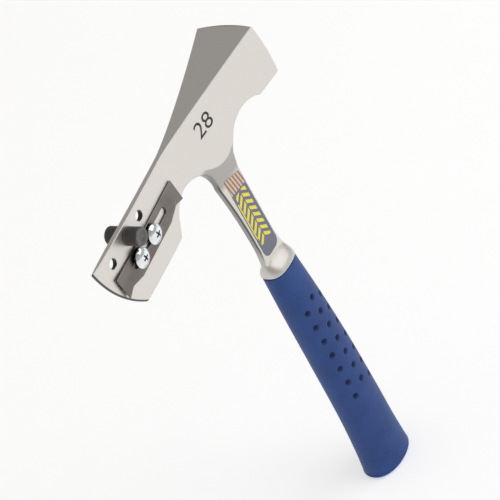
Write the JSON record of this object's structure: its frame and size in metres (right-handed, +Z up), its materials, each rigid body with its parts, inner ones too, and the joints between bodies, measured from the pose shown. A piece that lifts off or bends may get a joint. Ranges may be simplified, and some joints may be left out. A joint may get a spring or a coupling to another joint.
{
  "type": "roofing hatchet",
  "caption": "One-piece forged steel hatchet and hammer with an adjustable shingle gauge, a sliding shingle cutter and a soft moulded grip.",
  "frame": {"origin": "middle of the hand grip, on the handle's axis", "axes": "+Z up the handle towards the head, +X towards the striking face, -Y towards the cheek that carries the cutter"},
  "size_m": [0.2022, 0.0428, 0.3356],
  "materials": {
    "forged_steel": "satin polished forging",
    "blue_vinyl": "fine-grained moulded vinyl",
    "black_oxide_steel": "black oxide, diamond knurl",
    "dark_tool_steel": "dark tempered, ground lower edge",
    "zinc_plated_steel": "bright zinc",
    "black_washer_steel": "black phosphate",
    "label_film": "printed film"
  },
  "bodies": {
    "hatchet": {"head_forging": "forged_steel", "grip": "blue_vinyl", "shank_label_near": "label_film", "shank_label_far": "label_film"},
    "gauge_screw": {"gauge_screw": "black_oxide_steel"},
    "gauge_nut": {"gauge_nut": "black_oxide_steel"},
    "cutter": {"cutter_blade": "dark_tool_steel"},
    "front_washer": {"lock_washer_front": "black_washer_steel"},
    "front_screw": {"cutter_screw_front": "zinc_plated_steel"},
    "rear_washer": {"lock_washer_rear": "black_washer_steel"},
    "rear_screw": {"cutter_screw_rear": "zinc_plated_steel"}
  },
  "joints": [
    {"name": "gauge_screw_turn", "type": "hinge", "parent": "hatchet", "child": "gauge_screw", "pos_m": [-0.09754, 0, 0.21465], "axis": [0, -1, 0], "range_deg": [0, 1800]},
    {"name": "gauge_nut_slide", "type": "slide", "parent": "hatchet", "child": "gauge_nut", "axis": [0, 1, 0], "range_m": [0, 0.0065]},
    {"name": "cutter_slide", "type": "slide", "parent": "hatchet", "child": "cutter", "axis": [0.9934, 0, 0.1149], "range_m": [-0.017, 0.005]},
    {"name": "front_screw_lift", "type": "slide", "parent": "hatchet", "child": "front_washer", "axis": [0, -1, 0], "range_m": [0, 0.00317]},
    {"name": "front_screw_turn", "type": "hinge", "parent": "front_washer", "child": "front_screw", "pos_m": [-0.09984, 0, 0.19888], "axis": [0, -1, 0], "range_deg": [0, 1080]},
    {"name": "rear_screw_lift", "type": "slide", "parent": "hatchet", "child": "rear_washer", "axis": [0, -1, 0], "range_m": [0, 0.00317]},
    {"name": "rear_screw_turn", "type": "hinge", "parent": "rear_washer", "child": "rear_screw", "pos_m": [-0.08156, 0, 0.201], "axis": [0, -1, 0], "range_deg": [0, 1080]}
  ],
  "couplings": [
    {"joint": "gauge_nut_slide", "follows": "gauge_screw_turn", "m_per_rad": 0.00020213},
    {"joint": "front_screw_turn", "follows": "front_screw_lift", "rad_per_m": 5938.7},
    {"joint": "rear_screw_turn", "follows": "rear_screw_lift", "rad_per_m": 5938.7}
  ]
}
